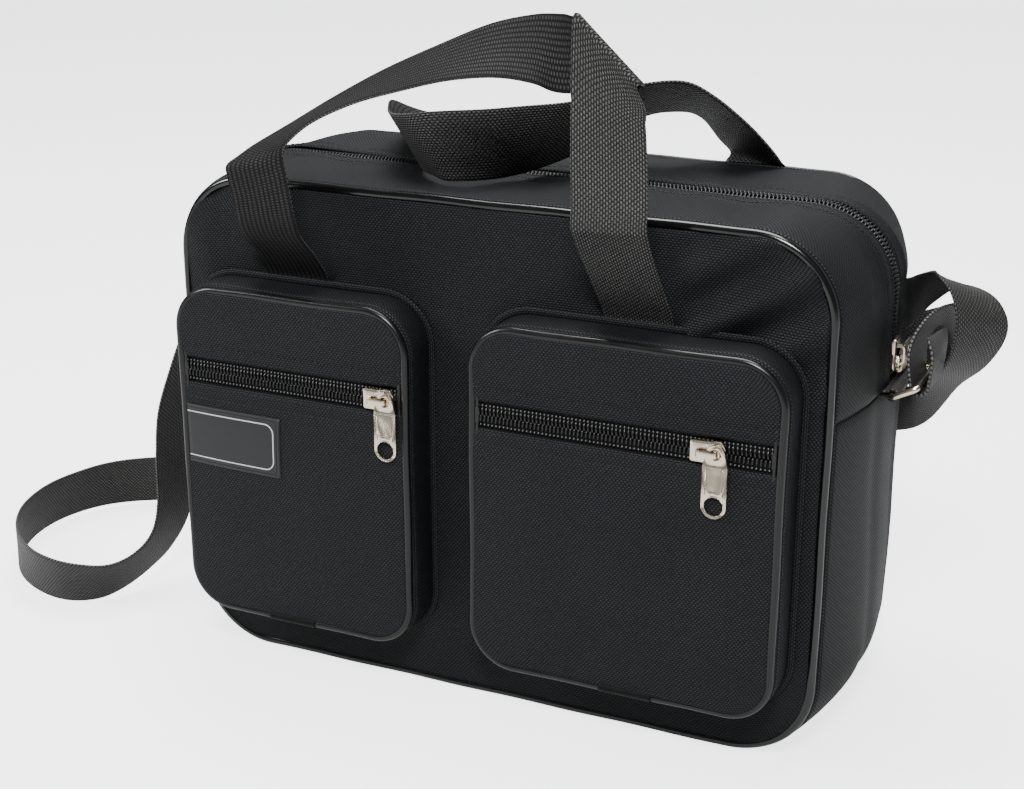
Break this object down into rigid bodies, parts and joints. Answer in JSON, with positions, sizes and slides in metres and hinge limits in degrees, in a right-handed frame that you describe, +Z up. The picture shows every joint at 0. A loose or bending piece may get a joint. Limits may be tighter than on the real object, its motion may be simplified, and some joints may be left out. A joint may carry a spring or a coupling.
{
  "type": "flight bag",
  "caption": "Soft rectangular flight bag with zipped front pockets, piped edges, webbing carry handles and a webbing shoulder strap on wire rings.",
  "frame": {"origin": "middle of the base, on the surface that the bag stands on, half way between the front and back panels", "axes": "+X towards the right side of the bag, +Y from the pockets to the back panel, +Z up"},
  "size_m": [0.6322, 0.2298, 0.3922],
  "materials": {
    "outer_cloth": "woven polyester, oxford weave",
    "webbing": "ribbed polypropylene webbing",
    "piping": "glossy vinyl piping",
    "sleeve_tape": "ribbed binding tape",
    "binding": "woven binding tape",
    "zip_tape": "knitted zip tape",
    "zip_coil": "nylon coil",
    "nickel": "warm bright nickel plate",
    "label": "moulded label with a pale line",
    "board": "stiff base board"
  },
  "bodies": {
    "root": {"back_panel": "outer_cloth", "base_board": "board", "front_handle_feet": "webbing", "front_panel": "outer_cloth", "front_piping": "piping", "front_seam_binding": "binding", "left_pocket_coil_lower": "zip_coil", "left_pocket_coil_upper": "zip_coil", "left_pocket_lower_panel": "outer_cloth", "left_pocket_piping": "piping", "left_pocket_piping_sleeve": "sleeve_tape", "left_pocket_tape_lower": "zip_tape", "left_pocket_tape_upper": "zip_tape", "left_pocket_upper_panel": "outer_cloth", "left_pocket_wall": "outer_cloth", "left_pocket_zip_stops": "nickel", "left_ring_tab": "webbing", "lower_gusset": "outer_cloth", "main_zip_coil_front": "zip_coil", "main_zip_coil_rear": "zip_coil", "main_zip_stops": "nickel", "main_zip_tape_front": "zip_tape", "main_zip_tape_rear": "zip_tape", "pocket_label": "label", "rear_handle_feet": "webbing", "rear_piping": "piping", "rear_seam_binding": "binding", "right_pocket_coil_lower": "zip_coil", "right_pocket_coil_upper": "zip_coil", "right_pocket_lower_panel": "outer_cloth", "right_pocket_piping": "piping", "right_pocket_piping_sleeve": "sleeve_tape", "right_pocket_tape_lower": "zip_tape", "right_pocket_tape_upper": "zip_tape", "right_pocket_upper_panel": "outer_cloth", "right_pocket_wall": "outer_cloth", "right_pocket_zip_stops": "nickel", "right_ring_tab": "webbing", "shoulder_strap": "webbing", "zip_gusset_front": "outer_cloth", "zip_gusset_rear": "outer_cloth"},
    "main_slider": {"main_slider": "nickel"},
    "main_pull": {"main_pull": "nickel"},
    "left_slider": {"left_pocket_slider": "nickel"},
    "left_pull": {"left_pocket_pull": "nickel"},
    "right_slider": {"right_pocket_slider": "nickel"},
    "right_pull": {"right_pocket_pull": "nickel"},
    "left_ring": {"left_ring": "nickel"},
    "right_ring": {"right_ring": "nickel"},
    "front_handle": {"front_handle": "webbing"},
    "rear_handle": {"rear_handle": "webbing"}
  },
  "joints": [
    {"name": "front_handle_fall", "type": "hinge", "parent": "root", "child": "front_handle", "pos_m": [0, -0.0766, 0.2332], "axis": [1, 0, 0], "range_deg": [-18, 50]},
    {"name": "rear_handle_lift", "type": "hinge", "parent": "root", "child": "rear_handle", "pos_m": [0, 0.0759, 0.2854], "axis": [-1, 0, 0], "range_deg": [0, 95]},
    {"name": "main_zip_run", "type": "slide", "parent": "root", "child": "main_slider", "axis": [0, 0, 1], "range_m": [0, 0.022]},
    {"name": "main_pull_swing", "type": "hinge", "parent": "main_slider", "child": "main_pull", "pos_m": [0.2057, 0, 0.20525], "axis": [1, 0, 0], "range_deg": [0, 30]},
    {"name": "left_zip_run", "type": "slide", "parent": "root", "child": "left_slider", "axis": [1, 0, 0], "range_m": [-0.113, 0]},
    {"name": "left_pull_swing", "type": "hinge", "parent": "left_slider", "child": "left_pull", "pos_m": [-0.04385, -0.1067, 0.181], "axis": [0, -1, 0], "range_deg": [-30, 85]},
    {"name": "right_zip_run", "type": "slide", "parent": "root", "child": "right_slider", "axis": [1, 0, 0], "range_m": [-0.116, 0.0225]},
    {"name": "right_pull_swing", "type": "hinge", "parent": "right_slider", "child": "right_pull", "pos_m": [0.14075, -0.1067, 0.181], "axis": [0, -1, 0], "range_deg": [-30, 85]},
    {"name": "left_ring_tilt", "type": "hinge", "parent": "root", "child": "left_ring", "pos_m": [-0.207, 0, 0.193], "axis": [0, 1, 0], "range_deg": [0, 6]},
    {"name": "right_ring_tilt", "type": "hinge", "parent": "root", "child": "right_ring", "pos_m": [0.207, 0, 0.193], "axis": [0, -1, 0], "range_deg": [0, 6]}
  ]
}
